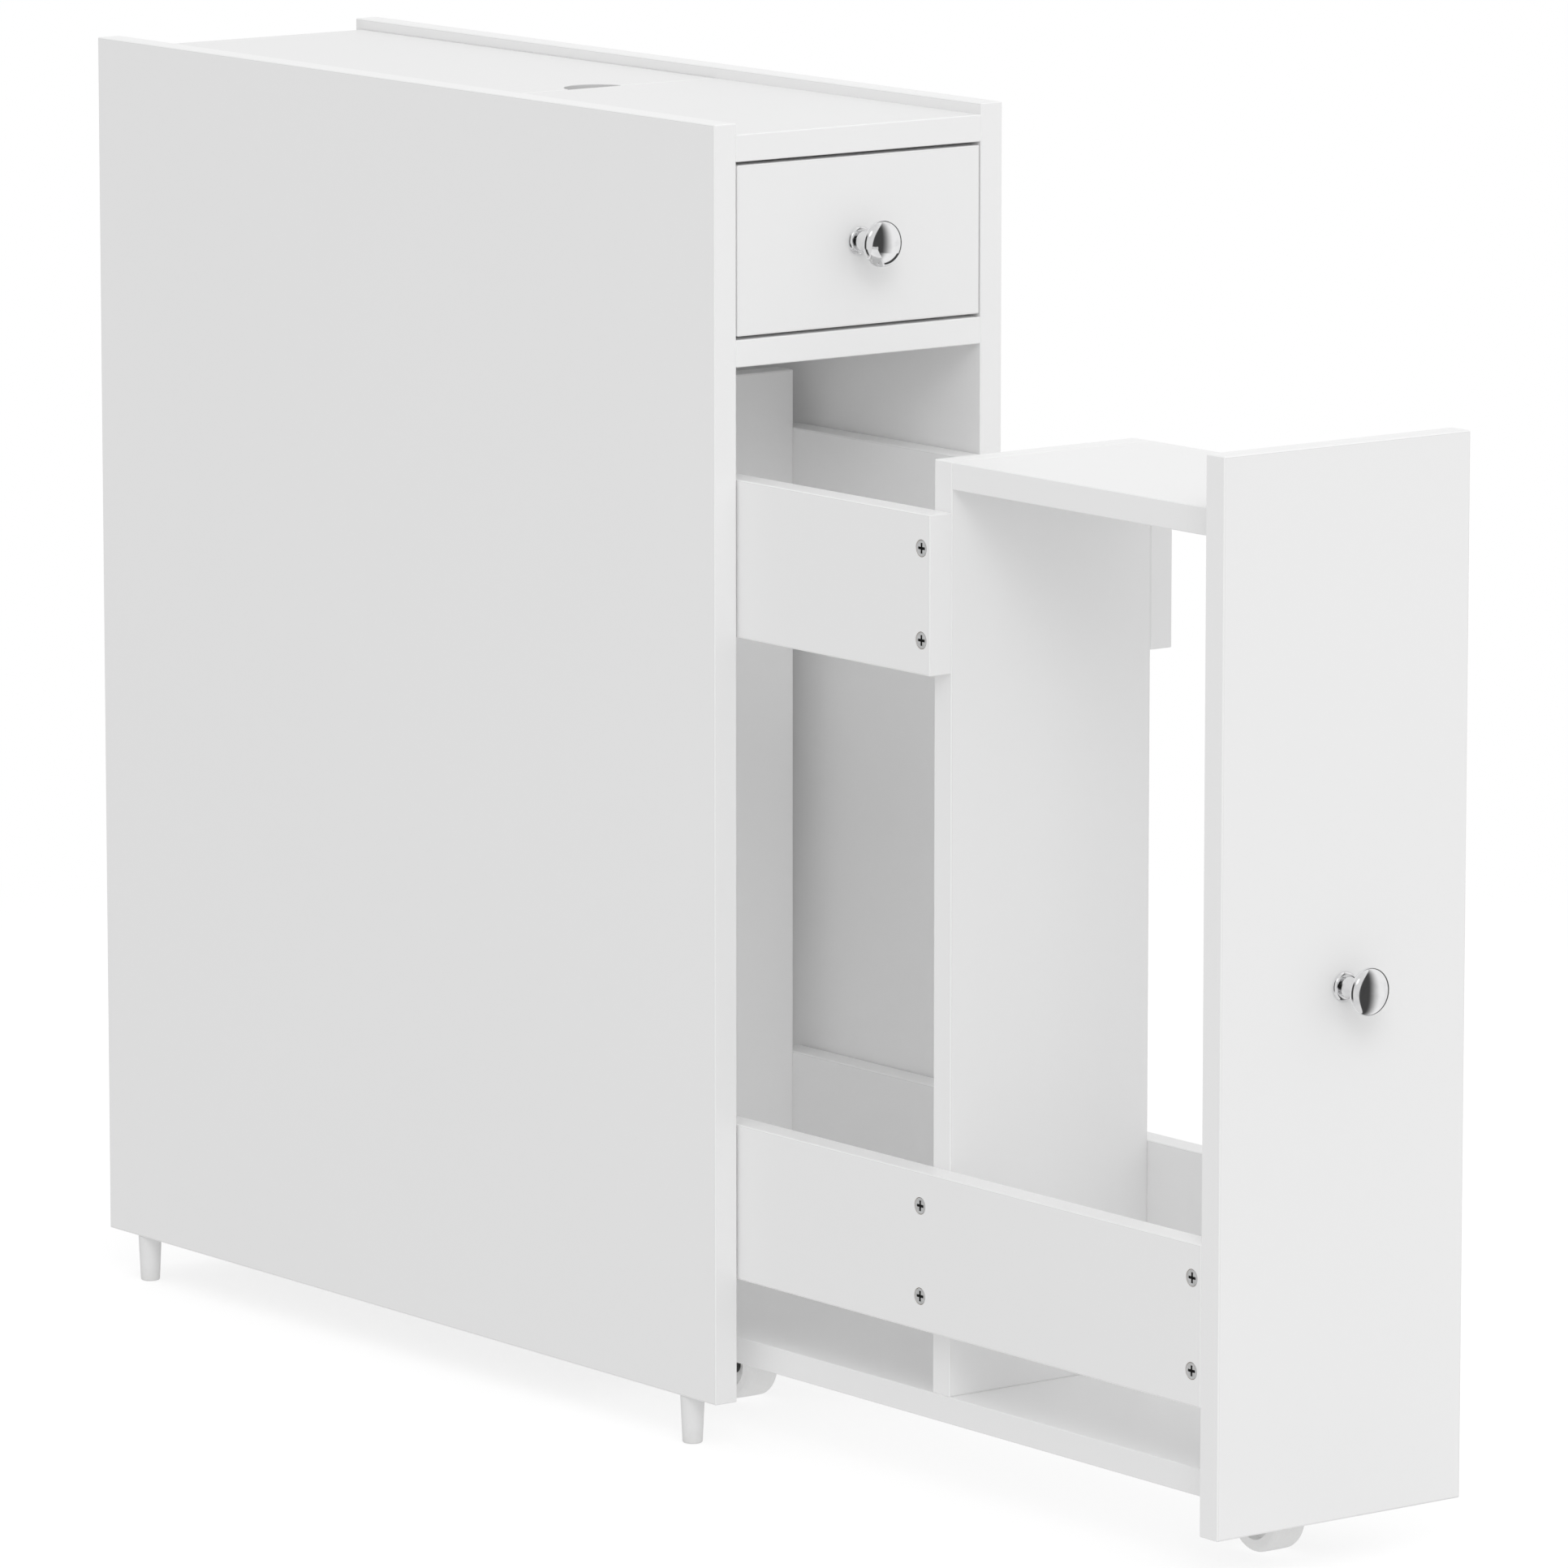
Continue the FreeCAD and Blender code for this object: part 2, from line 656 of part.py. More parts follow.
def save(names, shift):
    for name in names:
        shape = nodes[name]
        for cutter in holes.get(name, []):
            shape = shape.cut(cutter)
        shape.translate(V(0, shift - middle_y, 0))
        shape.exportStep("parts/" + name + ".step")


os.makedirs("parts", exist_ok=True)
case_boards()
case_feet()
case_joinery()
lid()
drawer()
save(list(nodes), 0)
standing = set(nodes)
rack()
save([name for name in nodes if name not in standing], -rack_drawn)
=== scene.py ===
import json
import math

import bpy
import numpy as np
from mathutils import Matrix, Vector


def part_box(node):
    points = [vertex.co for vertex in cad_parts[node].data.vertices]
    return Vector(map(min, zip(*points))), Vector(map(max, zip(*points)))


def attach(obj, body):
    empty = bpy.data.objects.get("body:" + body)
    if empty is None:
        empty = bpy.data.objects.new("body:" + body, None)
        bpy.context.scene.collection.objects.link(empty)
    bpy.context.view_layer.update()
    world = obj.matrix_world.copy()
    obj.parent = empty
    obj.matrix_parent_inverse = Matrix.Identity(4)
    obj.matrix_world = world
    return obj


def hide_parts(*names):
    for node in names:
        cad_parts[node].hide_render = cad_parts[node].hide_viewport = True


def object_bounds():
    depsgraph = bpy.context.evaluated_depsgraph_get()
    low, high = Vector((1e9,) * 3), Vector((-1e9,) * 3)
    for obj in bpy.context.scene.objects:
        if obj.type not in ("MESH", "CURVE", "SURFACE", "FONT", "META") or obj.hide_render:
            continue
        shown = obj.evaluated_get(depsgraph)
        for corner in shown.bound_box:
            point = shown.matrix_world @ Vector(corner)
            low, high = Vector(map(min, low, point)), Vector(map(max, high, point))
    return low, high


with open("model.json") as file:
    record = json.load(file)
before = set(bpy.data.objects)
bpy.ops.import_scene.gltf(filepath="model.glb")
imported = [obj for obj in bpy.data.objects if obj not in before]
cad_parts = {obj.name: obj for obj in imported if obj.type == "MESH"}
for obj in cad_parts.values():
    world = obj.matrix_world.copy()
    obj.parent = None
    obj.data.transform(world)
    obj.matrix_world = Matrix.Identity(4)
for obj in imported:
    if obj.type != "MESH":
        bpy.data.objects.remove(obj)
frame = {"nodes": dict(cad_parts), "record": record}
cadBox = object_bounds()
mm = 0.001
slotOf = {part["node"]: part["material_slot"] for part in frame["record"]["subparts"]}
bodyOf = {node: body for body, nodes in frame["record"]["behaviour"]["bodies"].items() for node in nodes}


class Tap:
    # one output of a shader tree; sums and products of taps add the Math nodes that they stand for
    def __init__(self, tree, socket=None):
        self.tree = tree
        self.socket = socket

    def node(self, kind, settings, values, out=0):
        made = self.tree.nodes.new(kind)
        for key, setting in settings.items():
            setattr(made, key, setting)
        for key, value in values.items():
            if isinstance(value, Tap):
                self.tree.links.new(value.socket, made.inputs[key])
            else:
                made.inputs[key].default_value = value
        return Tap(self.tree, made.outputs[out])

    def maths(self, operation, first, second=0.0):
        return self.node("ShaderNodeMath", {"operation": operation}, {0: first, 1: second})

    def __add__(self, other):
        return self.maths("ADD", self, other)

    def __radd__(self, other):
        return self.maths("ADD", other, self)

    def __sub__(self, other):
        return self.maths("SUBTRACT", self, other)

    def __rsub__(self, other):
        return self.maths("SUBTRACT", other, self)

    def __mul__(self, other):
        return self.maths("MULTIPLY", self, other)

    def __truediv__(self, other):
        return self.maths("DIVIDE", self, other)

    def least(self, other):
        return self.maths("MINIMUM", self, other)

    def most(self, other):
        return self.maths("MAXIMUM", self, other)

    def size(self):
        return self.maths("ABSOLUTE", self)

    def wave(self):
        return self.maths("SINE", self)

    def root(self):
        return self.maths("SQRT", self)


def smooth(value, low, high):  # 0 below low, 1 above high, an easy slope between; a range is (low, high)
    return value.node("ShaderNodeMapRange", {"interpolation_type": "SMOOTHSTEP"},
                      {"Value": value, "From Min": low, "From Max": high})


def noise(at, scale, detail):  # a grain with values about 0.5
    return at.node("ShaderNodeTexNoise", {}, {"Vector": at, "Scale": scale, "Detail": detail})


def streaks(at, scales, detail):  # a grain with a scale of its own along each axis
    return noise(at.node("ShaderNodeMapping", {}, {"Vector": at, "Scale": scales}), 1.0, detail)


def blend(first, second, share):
    return first * (1 - share) + second * share


def tint(share, first, second):
    return share.node("ShaderNodeMix", {"data_type": "RGBA"}, {0: share, 6: first, 7: second}, 2)


def relief(height, distance):
    return height.node("ShaderNodeBump", {}, {"Height": height, "Distance": distance, "Strength": 1.0})


def split(vector):
    return [vector.node("ShaderNodeSeparateXYZ", {}, {0: vector}, out) for out in range(3)]


def grey(level):
    return (level, level, level, 1.0)


def newFinish(name):
    made = bpy.data.materials.new(name)
    made.use_nodes = True
    tree = made.node_tree
    tree.nodes.clear()
    output = tree.nodes.new("ShaderNodeOutputMaterial")
    place = Tap(tree).node("ShaderNodeTexCoord", {}, {}, "Object")
    return made, place, output.inputs["Surface"]


def principled(place, surface, values):
    shader = place.node("ShaderNodeBsdfPrincipled", {}, values)
    place.tree.links.new(shader.socket, surface)


# White laminate on board: a pearl surface, edge tape with a hair line of glue beside it, chips in the
# bores; a greyer white on the top boards and a grey in the lid's cut opening are painted shade
laminate = {
    "white": grey(0.906), "whiteLow": grey(0.890), "topShadedWhite": grey(0.868), "topShadedWhiteLow": grey(0.852),
    "shadedTopBoards": ("fixed_top_panel", "top_lid"),  # a greyer white for these boards, painted shade that keeps the case top dimmer than the edges
    "tape": grey(0.91), "tapeDepth": 0.46 * mm, "tapeGloss": 0.34, "tapeFlatness": 0.6,
    "glue": (0.55, 0.54, 0.52, 1.0), "glueShare": 0.35, "glueWidth": 0.14 * mm, "glueDip": 0.5,
    "gloss": 0.40, "glossSpread": 0.10, "pearlInGloss": 0.5, "specular": 0.45,
    "pearl": (1100, 1.0), "ripple": (170, 2.0), "cloud": (7, 4.0),
    "rippleInColour": 0.3, "rippleInRelief": 0.4, "pearlHeight": 0.018 * mm,
    "chip": (0.46, 0.34, 0.21, 1.0), "chipDark": (0.24, 0.16, 0.09, 1.0), "chips": (700, 4.0),
    "chipRange": (0.12 * mm, 0.36 * mm),
    "painted": ("top_lid",), "cutShade": grey(0.68),  # boards whose cut openings take a flat grey, painted shade for their shaded walls, not bare chips
}


def laminateFinish(node):
    low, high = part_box(node)
    finish, place, surface = newFinish("white_laminate_" + node)
    thin = int(np.argmin(np.array(high - low)))
    inset = None  # how far in from the board's outline, across its face
    for axis, along in enumerate(split(place)):
        reach = (along - low[axis]).least(high[axis] - along)
        if axis == thin:
            deep = reach
        else:
            inset = reach if inset is None else inset.least(reach)
    glueLine = laminate["tapeDepth"] + laminate["glueWidth"]
    tape = 1 - smooth(inset, laminate["tapeDepth"], glueLine)
    glue = 1 - smooth((inset - glueLine).size(), 0, laminate["glueWidth"])
    pearl = noise(place, *laminate["pearl"])
    ripple = noise(place, *laminate["ripple"])
    cloud = noise(place, *laminate["cloud"])
    # the top boards take the greyer white: painted shade for a dimmer top
    sheet = "topShadedWhite" if node in laminate["shadedTopBoards"] else "white"
    shade = blend(cloud, ripple, laminate["rippleInColour"])
    colour = tint(shade, laminate[sheet + "Low"], laminate[sheet])
    colour = tint(tape, colour, laminate["tape"])
    colour = tint(glue * laminate["glueShare"], colour, laminate["glue"])
    core = smooth(deep, *laminate["chipRange"]) * (1 - tape)
    chips = tint(noise(place, *laminate["chips"]), laminate["chipDark"], laminate["chip"])
    # on the lid the cut opening's wall gets the flat grey, painted shade; on the other boards bare chips
    colour = tint(core, colour, laminate["cutShade"] if node in laminate["painted"] else chips)
    uneven = blend(cloud, pearl, laminate["pearlInGloss"]) - 0.5
    gloss = laminate["gloss"] + uneven * laminate["glossSpread"]
    gloss = gloss + tape * (laminate["tapeGloss"] - laminate["gloss"])
    height = blend(pearl, ripple, laminate["rippleInRelief"]) * (1 - tape * laminate["tapeFlatness"])
    principled(place, surface, {
        "Base Color": colour, "Roughness": gloss, "Specular IOR Level": laminate["specular"],
        "Normal": relief(height - glue * laminate["glueDip"], laminate["pearlHeight"]),
    })
    return finish


# Drawer bottom: white paint above, bare brown board with a screen pattern below
hardboard = {
    "paint": grey(0.83), "paintLow": grey(0.80), "cloud": (60, 3.0), "gloss": 0.5,
    "paintFrom": 0.4 * mm, "paintTo": 0.2 * mm,  # below the upper face
    "brown": (0.30, 0.19, 0.11, 1.0), "brownLow": (0.22, 0.135, 0.075, 1.0), "bareGloss": 0.75,
    "screen": 1.6 * mm, "screenHeight": 0.08 * mm, "fibre": ((900, 250, 900), 3.0), "fibreInRelief": 0.15,
}


def hardboardFinish(node):
    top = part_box(node)[1][2]
    finish, place, surface = newFinish("white_hardboard")
    along = split(place)
    painted = smooth(along[2], top - hardboard["paintFrom"], top - hardboard["paintTo"])
    turn = 2 * math.pi / hardboard["screen"]
    screen = (along[0] * turn).wave() * (along[1] * turn).wave()
    fibre = streaks(place, *hardboard["fibre"])
    paint = tint(noise(place, *hardboard["cloud"]), hardboard["paintLow"], hardboard["paint"])
    bare = tint(fibre, hardboard["brownLow"], hardboard["brown"])
    height = screen * (1 - painted) + fibre * hardboard["fibreInRelief"]
    principled(place, surface, {
        "Base Color": tint(painted, bare, paint),
        "Roughness": hardboard["bareGloss"] + painted * (hardboard["gloss"] - hardboard["bareGloss"]),
        "Normal": relief(height, hardboard["screenHeight"]),
    })
    return finish


# Polished chrome with faint wiping marks and a little haze
chrome = {
    "bright": (0.87, 0.87, 0.875, 1.0), "haze": (0.80, 0.80, 0.81, 1.0),
    "cloud": (240, 4.0), "hazeRange": (0.45, 0.75), "gloss": 0.045, "hazeGloss": 0.05,
    "wiped": ((300, 300, 4200), 2.0), "wipedGloss": 0.02, "wipedHeight": 0.0008 * mm,
}


def chromeFinish():
    finish, place, surface = newFinish("chrome_knob")
    haze = smooth(noise(place, *chrome["cloud"]), *chrome["hazeRange"])
    wiped = streaks(place, *chrome["wiped"])
    principled(place, surface, {
        "Base Color": tint(haze, chrome["bright"], chrome["haze"]),
        "Metallic": 1.0,
        "Roughness": chrome["gloss"] + haze * chrome["hazeGloss"] + wiped * chrome["wipedGloss"],
        "Normal": relief(wiped, chrome["wipedHeight"]),
    })
    return finish


# Moulded white nylon wheel: satin ends, a tread greyed by the floor with fine scuffs round it
nylon = {
    "white": (0.945, 0.945, 0.94, 1.0), "shade": (0.92, 0.92, 0.915, 1.0), "cloud": (130, 3.0),
    "dust": (0.62, 0.61, 0.59, 1.0), "dustShare": 0.08, "dustRange": (0.35, 0.75),
    "gloss": 0.34, "treadGloss": 0.55, "cloudGloss": 0.08,
    "grain": (1500, 2.0), "scuff": ((2600, 260, 260), 3.0), "scuffHeight": 0.02 * mm, "dustInRelief": 0.6,
}


def nylonFinish():
    finish, place, surface = newFinish("white_nylon")
    tread = place.node("ShaderNodeAttribute", {"attribute_name": "tread"}, {}, "Fac")
    cloud = noise(place, *nylon["cloud"])
    dust = tread * smooth(streaks(place, *nylon["scuff"]), *nylon["dustRange"])
    grain = noise(place, *nylon["grain"])
    colour = tint(cloud, nylon["shade"], nylon["white"])
    colour = tint(dust * nylon["dustShare"], colour, nylon["dust"])
    gloss = nylon["gloss"] + tread * (nylon["treadGloss"] - nylon["gloss"]) + cloud * nylon["cloudGloss"]
    principled(place, surface, {
        "Base Color": colour,
        "Roughness": gloss,
        "Normal": relief(blend(grain, dust, nylon["dustInRelief"]), nylon["scuffHeight"]),
    })
    return finish


# White plastic feet: a fine spark-eroded grain, a little grey towards the floor
footPlastic = {
    "white": grey(0.84), "low": (0.74, 0.735, 0.725, 1.0), "gloss": 0.45,
    "dirt": (350, 4.0), "dirtHeight": 9 * mm, "dirtGloss": 0.15,
    "grain": (1900, 2.0), "grainGloss": 0.12, "grainHeight": 0.02 * mm,
}


def footFinish():
    finish, place, surface = newFinish("white_foot_plastic")
    rise = split(place)[2]
    grain = noise(place, *footPlastic["grain"])
    dirt = (1 - smooth(rise, 0, footPlastic["dirtHeight"])) * noise(place, *footPlastic["dirt"])
    gloss = footPlastic["gloss"] + grain * footPlastic["grainGloss"] + dirt * footPlastic["dirtGloss"]
    principled(place, surface, {
        "Base Color": tint(dirt, footPlastic["white"], footPlastic["low"]),
        "Roughness": gloss,
        "Normal": relief(grain, footPlastic["grainHeight"]),
    })
    return finish


# Pressed bracket: black paint with an orange peel, rubbed thin in a few places
bracketPaint = {
    "black": (0.018, 0.018, 0.019, 1.0), "worn": (0.085, 0.085, 0.09, 1.0), "gloss": 0.36,
    "peel": (700, 2.0), "peelGloss": 0.12, "peelHeight": 0.03 * mm,
    "wear": (190, 5.0), "wearRange": (0.56, 0.72), "wornGloss": 0.12, "wornMetal": 0.4,
}


def bracketFinish():
    finish, place, surface = newFinish("dark_bracket_steel")
    peel = noise(place, *bracketPaint["peel"])
    worn = smooth(noise(place, *bracketPaint["wear"]), *bracketPaint["wearRange"])
    gloss = bracketPaint["gloss"] + peel * bracketPaint["peelGloss"] + worn * bracketPaint["wornGloss"]
    principled(place, surface, {
        "Base Color": tint(worn, bracketPaint["black"], bracketPaint["worn"]),
        "Roughness": gloss,
        "Metallic": worn * bracketPaint["wornMetal"],
        "Normal": relief(peel, bracketPaint["peelHeight"]),
    })
    return finish


# Zinc plate on steel: turning rings, a cloudy passivated colour, near black in the recesses as painted
# shade
zinc = {
    "bright": (0.80, 0.805, 0.81, 1.0), "dull": (0.68, 0.68, 0.675, 1.0), "dullRange": (0.35, 0.7),
    # the near black of the cross recesses is painted shade
    "recessShade": (0.005, 0.005, 0.005, 1.0), "recessShadeRange": (0.05 * mm, 0.20 * mm), "recessShadeGloss": 0.4,
    "gloss": 0.30, "cloud": (420, 4.0), "cloudGloss": 0.16,
    "pitch": 0.16 * mm, "ringInRelief": 0.5, "ringHeight": 0.006 * mm,
}


def zincFinish():
    finish, place, surface = newFinish("zinc_steel")
    turned = place.node("ShaderNodeUVMap", {"uv_map": "turned"}, {})
    rings = (split(turned)[1] * (2 * math.pi / zinc["pitch"])).wave()
    cloud = noise(place, *zinc["cloud"])
    sunk = place.node("ShaderNodeAttribute", {"attribute_name": "sunk"}, {}, "Fac")
    # painted shade: the deeper in the cross recess, the nearer black, with less metal and more roughness
    recessShade = smooth(sunk, *zinc["recessShadeRange"])
    plate = tint(smooth(cloud, *zinc["dullRange"]), zinc["bright"], zinc["dull"])
    principled(place, surface, {
        "Base Color": tint(recessShade, plate, zinc["recessShade"]),
        "Metallic": 1 - recessShade,
        "Roughness": zinc["gloss"] + cloud * zinc["cloudGloss"] + recessShade * zinc["recessShadeGloss"],
        "Normal": relief(rings * zinc["ringInRelief"] + cloud, zinc["ringHeight"]),
    })
    return finish


# Die cast zinc of the cam locks: matt skin with flow marks
castZinc = {
    "light": (0.60, 0.60, 0.61, 1.0), "dark": (0.46, 0.46, 0.465, 1.0), "flow": ((260, 260, 700), 5.0),
    "metal": 0.95, "gloss": 0.42, "skin": (2200, 2.0), "skinGloss": 0.15, "skinHeight": 0.02 * mm,
}


def castFinish():
    finish, place, surface = newFinish("cast_zinc")
    flow = streaks(place, *castZinc["flow"])
    skin = noise(place, *castZinc["skin"])
    principled(place, surface, {
        "Base Color": tint(flow, castZinc["dark"], castZinc["light"]),
        "Metallic": castZinc["metal"],
        "Roughness": castZinc["gloss"] + skin * castZinc["skinGloss"],
        "Normal": relief(skin, castZinc["skinHeight"]),
    })
    return finish


# Beech dowels: straight grain with short dark flecks
beech = {
    "pale": (0.70, 0.50, 0.31, 1.0), "dark": (0.52, 0.34, 0.19, 1.0), "grain": ((140, 900, 900), 4.0),
    "fleck": ((420, 2600, 2600), 2.0), "fleckRange": (0.62, 0.7), "fleckShare": 0.5,
    "gloss": 0.6, "grainGloss": 0.1, "grainHeight": 0.04 * mm,
}


def beechFinish():
    finish, place, surface = newFinish("beech_dowel")
    grain = streaks(place, *beech["grain"])
    fleck = smooth(streaks(place, *beech["fleck"]), *beech["fleckRange"])
    darkness = (grain + fleck * beech["fleckShare"]).least(1.0)
    principled(place, surface, {
        "Base Color": tint(darkness, beech["pale"], beech["dark"]),
        "Roughness": beech["gloss"] + grain * beech["grainGloss"],
        "Normal": relief(grain - fleck, beech["grainHeight"]),
    })
    return finish


finishes = {
    "chrome_knob": chromeFinish(), "white_nylon": nylonFinish(), "white_foot_plastic": footFinish(),
    "dark_bracket_steel": bracketFinish(), "zinc_steel": zincFinish(), "cast_zinc": castFinish(),
    "beech_dowel": beechFinish(),
}
boardFinish = {"white_laminate": laminateFinish, "white_hardboard": hardboardFinish}
for node, cadObject in frame["nodes"].items():
    made = boardFinish[slotOf[node]](node) if slotOf[node] in boardFinish else finishes[slotOf[node]]
    for slot in cadObject.material_slots:
        slot.material = made
print("finishes: %d materials" % len(bpy.data.materials))


def threePointArc(start, middlePoint, end, count):
    # the circle through three points, walked evenly from the first to the last
    a, b, c = (np.array(point, float) for point in (start, middlePoint, end))
    ab, ac = b - a, c - a
    abSquare, acSquare = ab.dot(ab), ac.dot(ac)
    twice = 2 * (ab[0] * ac[1] - ab[1] * ac[0])
    toCentre = np.array([ac[1] * abSquare - ab[1] * acSquare, ab[0] * acSquare - ac[0] * abSquare]) / twice
    centre = a + toCentre
    first = math.atan2(*(a - centre)[::-1])
    last = math.atan2(*(c - centre)[::-1])
    sweep = (last - first) % (2 * math.pi)
    if twice < 0:
        sweep -= 2 * math.pi
    angles = first + sweep * np.linspace(0, 1, count)
    return centre + np.hypot(*toCentre) * np.stack([np.cos(angles), np.sin(angles)], 1)


def softened(corners, rounding, arcSteps=7, room=0.45, leastTurn=0.2):
    # an open outline whose corners become arcs: each arc starts rounding * tan(turn / 2) before its corner,
    # within its share of room on the two sides
    points = np.array(corners, float)
    steps = np.diff(points, axis=0)
    lengths = np.hypot(*steps.T)
    outward = steps / lengths[:, None]
    pieces = [points[:1]]
    for i, corner in enumerate(points[1:-1]):
        before, after = outward[i], outward[i + 1]
        turn = math.atan2(before[0] * after[1] - before[1] * after[0], before.dot(after))
        if abs(turn) < leastTurn:
            pieces.append(corner[None])
            continue
        back = min(rounding * math.tan(abs(turn) / 2), room * min(lengths[i], lengths[i + 1]))
        radius = back / math.tan(abs(turn) / 2)
        side = math.copysign(1.0, turn)
        centre = corner - before * back + side * radius * np.array([-before[1], before[0]])
        spoke = corner - before * back - centre
        angles = turn * np.linspace(0, 1, arcSteps)
        pieces.append(centre + np.stack([spoke[0] * np.cos(angles) - spoke[1] * np.sin(angles),
                                         spoke[0] * np.sin(angles) + spoke[1] * np.cos(angles)], 1))
    return heldFlats(np.concatenate(pieces + [points[-1:]]))


def heldFlats(points, share=0.06, longer=4):
    # two more points near the ends of each long stretch keep its shading flat
    following = np.roll(points, -1, 0)
    lengths = np.hypot(*(following - points).T)
    longOnes = lengths > longer * np.median(lengths)
    longOnes[-1] = False
    rows = []
    for point, target, isLong in zip(points, following, longOnes):
        rows.append(point)
        if isLong:
            rows += [point + share * (target - point), target - share * (target - point)]
    return np.array(rows)


def frameOn(axis):
    # two directions square to the axis, so that first x second = axis
    axis = np.array(axis, float)
    helper = np.eye(3)[int(np.argmin(np.abs(axis)))]
    first = np.cross(helper, axis)
    first /= np.linalg.norm(first)
    return first, np.cross(axis, first), axis


def turnedGrid(profile, around):
    # point(s, t) = (radius(s) cos t, radius(s) sin t, distance(s))
    angles = np.linspace(0, 2 * math.pi, around, endpoint=False)
    radius, distance = profile[:, 0][:, None], profile[:, 1][:, None]
    return np.stack([radius * np.cos(angles), radius * np.sin(angles), distance + 0 * angles], 2)


def turnedFaces(profile, around, closed):
    # quads between neighbouring rings and triangles at the poles, as (corners, unrolled places), where a
    # place is (share of the turn, length along the profile); a closed profile makes a ring without poles
    index = np.arange(len(profile) * around).reshape(-1, around)
    if not closed:
        index[0] = index[0, 0]
        index[-1] = index[-1, 0]
    lower = index if closed else index[:-1]
    upper = np.roll(index, -1, 0) if closed else index[1:]
    quads = np.stack([lower, np.roll(lower, -1, 1), np.roll(upper, -1, 1), upper], 2)
    travelled = np.concatenate([[0], np.cumsum(np.hypot(*np.diff(profile, axis=0).T))])
    reach = np.append(travelled, travelled[-1])
    share = np.arange(around + 1) / around
    bottom, top = reach[:len(quads)], reach[1:len(quads) + 1]
    u = np.stack([share[:-1], share[1:], share[1:], share[:-1]], 1)[None] + np.zeros((len(quads), 1, 1))
    v = np.stack([bottom, bottom, top, top], 1)[:, None] + np.zeros((1, around, 1))
    unrolled = np.stack([u, v], -1)
    if closed:
        return index, [(quads.reshape(-1, 4), unrolled.reshape(-1, 2))]
    foot, crown = [0, 2, 3], [0, 1, 2]
    return index, [(quads[1:-1].reshape(-1, 4), unrolled[1:-1].reshape(-1, 2)),
                   (quads[0][:, foot], unrolled[0][:, foot].reshape(-1, 2)),
                   (quads[-1][:, crown], unrolled[-1][:, crown].reshape(-1, 2))]


def turnedPiece(name, profile, places, like, closed=False, around=96, press=None, tread=None):
    # the turned grid, pressed where there is a press, set at each place in the way of its axis
    plain = turnedGrid(profile, around)
    grid = press(plain) if press else plain
    index, faceSets = turnedFaces(profile, around, closed)
    used = np.unique(index)
    renumber = np.zeros(index.size, int)
    renumber[used] = np.arange(len(used))
    local = grid.reshape(-1, 3)[used]
    points, faces, mapped = [], [], []
    for count, (start, axis) in enumerate(places):
        points.append(np.array(start, float) + local @ np.stack(frameOn(axis)))
        for corners, unrolled in faceSets:
            faces += (renumber[corners] + count * len(used)).tolist()
            mapped.append(unrolled)
    mesh = bpy.data.meshes.new(name)
    mesh.from_pydata(np.concatenate(points), [], faces)
    layer = mesh.uv_layers.new(name="turned")
    layer.data.foreach_set("uv", np.concatenate(mapped).astype(np.float32).ravel())
    mesh.polygons.foreach_set("use_smooth", np.ones(len(faces), bool))
    marks = {}
    if press:
        marks["sunk"] = (grid - plain).reshape(-1, 3)[used, 2]
    if tread:
        marks["tread"] = tread(local)
    for mark, values in marks.items():
        everywhere = np.tile(values, len(places)).astype(np.float32)
        mesh.attributes.new(mark, "FLOAT", "POINT").data.foreach_set("value", everywhere)
    mesh.update()
    piece = bpy.data.objects.new(name, mesh)
    bpy.context.scene.collection.objects.link(piece)
    mesh.materials.append(finishes[slotOf[like]])
    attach(piece, bodyOf[like])
    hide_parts(like)
    print("piece: %s, %d faces" % (name, len(faces)))


def middle(node):
    low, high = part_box(node)
    return (np.array(low) + np.array(high)) / 2


# Turned knobs: flat flange, waisted neck, a head with a thin round rim under a dome that is half an ellipse
knob = {
    "flange": 6.4 * mm, "flangeEdge": 0.8 * mm, "flangeLift": 0.02 * mm, "edge": 0.22 * mm,
    "neck": 3.6 * mm, "neckAt": 7.5 * mm, "rimAt": 16.4 * mm, "rim": 1.1 * mm,
    "footBend": (0.3, 0.4), "headBend": (0.25, 0.7),  # shares of the widening and of the length
    "around": 128, "curveSteps": 30, "rimSteps": 14, "domeSteps": 64,
}


def knobProfile(headRadius, reach):
    flange, flangeEdge, neck, neckAt, rimAt = (
        knob[key] for key in ("flange", "flangeEdge", "neck", "neckAt", "rimAt"))
    under = rimAt - knob["rim"]
    face = headRadius - knob["rim"]
    footBend = (neck + knob["footBend"][0] * (flange - neck),
                flangeEdge + knob["footBend"][1] * (neckAt - flangeEdge))
    headBend = (neck + knob["headBend"][0] * (face - neck),
                neckAt + knob["headBend"][1] * (under - neckAt))
    rimTurn = knob["rim"] * math.sqrt(0.5)
    rimBend = (face + rimTurn, rimAt - rimTurn)
    footStart = (flange - knob["edge"], flangeEdge + knob["flangeLift"])
    # dome: (head radius * cos t, rim + rise * sin t) for t from 0 to 90 degrees
    turn = np.linspace(0, math.pi / 2, knob["domeSteps"])
    dome = np.stack([headRadius * np.cos(turn), rimAt + (reach - rimAt) * np.sin(turn)], 1)
    dome[-1, 0] = 0
    disc = softened([(0, 0), (flange, 0), (flange, flangeEdge), footBend], knob["edge"])
    return np.concatenate([
        disc[:-1],
        threePointArc(footStart, footBend, (neck, neckAt), knob["curveSteps"])[1:],
        threePointArc((neck, neckAt), headBend, (face, under), knob["curveSteps"])[1:],
        threePointArc((face, under), rimBend, (headRadius, rimAt), knob["rimSteps"])[1:],
        dome[1:],
    ])


